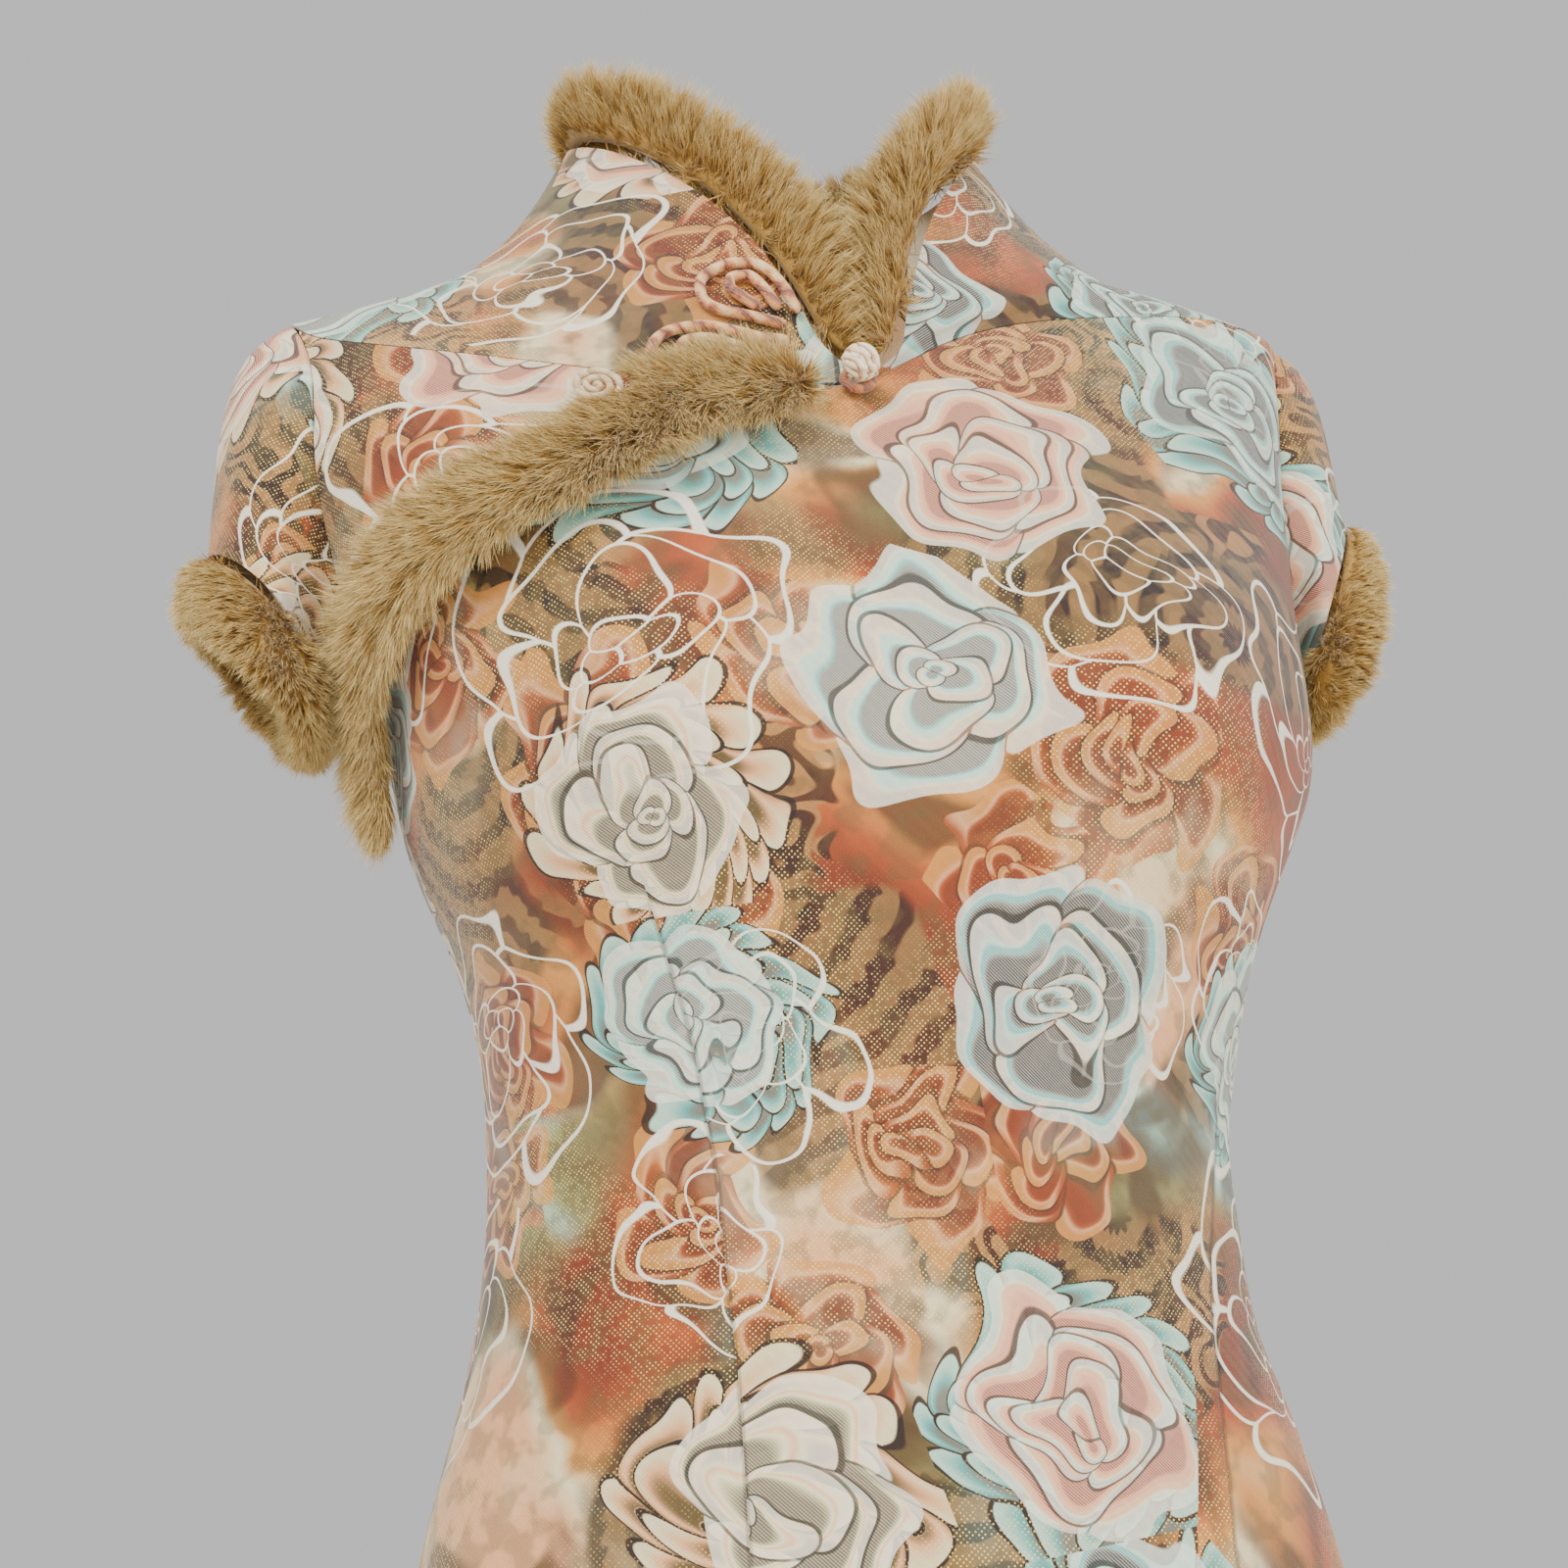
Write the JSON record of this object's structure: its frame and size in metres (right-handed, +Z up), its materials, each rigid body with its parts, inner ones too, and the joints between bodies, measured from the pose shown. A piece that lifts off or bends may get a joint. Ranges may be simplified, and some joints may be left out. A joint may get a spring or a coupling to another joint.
{
  "type": "cheongsam dress",
  "caption": "Short-sleeved, close-fitting dress with a stand collar, slanted side opening closed by a knotted frog, and fur along collar, opening and cuffs.",
  "frame": {"origin": "midway between the two shoulder tips, where the wearer's shoulders hold the dress up", "axes": "+Z up, the front faces -Y, +X is toward the wearer's left"},
  "size_m": [0.4468, 0.2398, 0.9999],
  "materials": {
    "printed_cloth": "matte twill with a few glinting threads",
    "fur": "soft fur",
    "cord": "matte covered cord"
  },
  "bodies": {
    "root": {"front_main": "printed_cloth", "front_right": "printed_cloth", "back": "printed_cloth", "collar_yoke": "printed_cloth", "sleeve_left": "printed_cloth", "sleeve_right": "printed_cloth", "fur_collar": "fur", "fur_opening": "fur", "fur_cuff_left": "fur", "fur_cuff_right": "fur", "frog_upper_loop": "cord", "frog_upper_finger": "cord", "frog_lower_loop": "cord", "frog_lower_finger": "cord", "frog_coil": "cord", "frog_ring": "cord", "knot_button": "cord"}
  },
  "joints": []
}
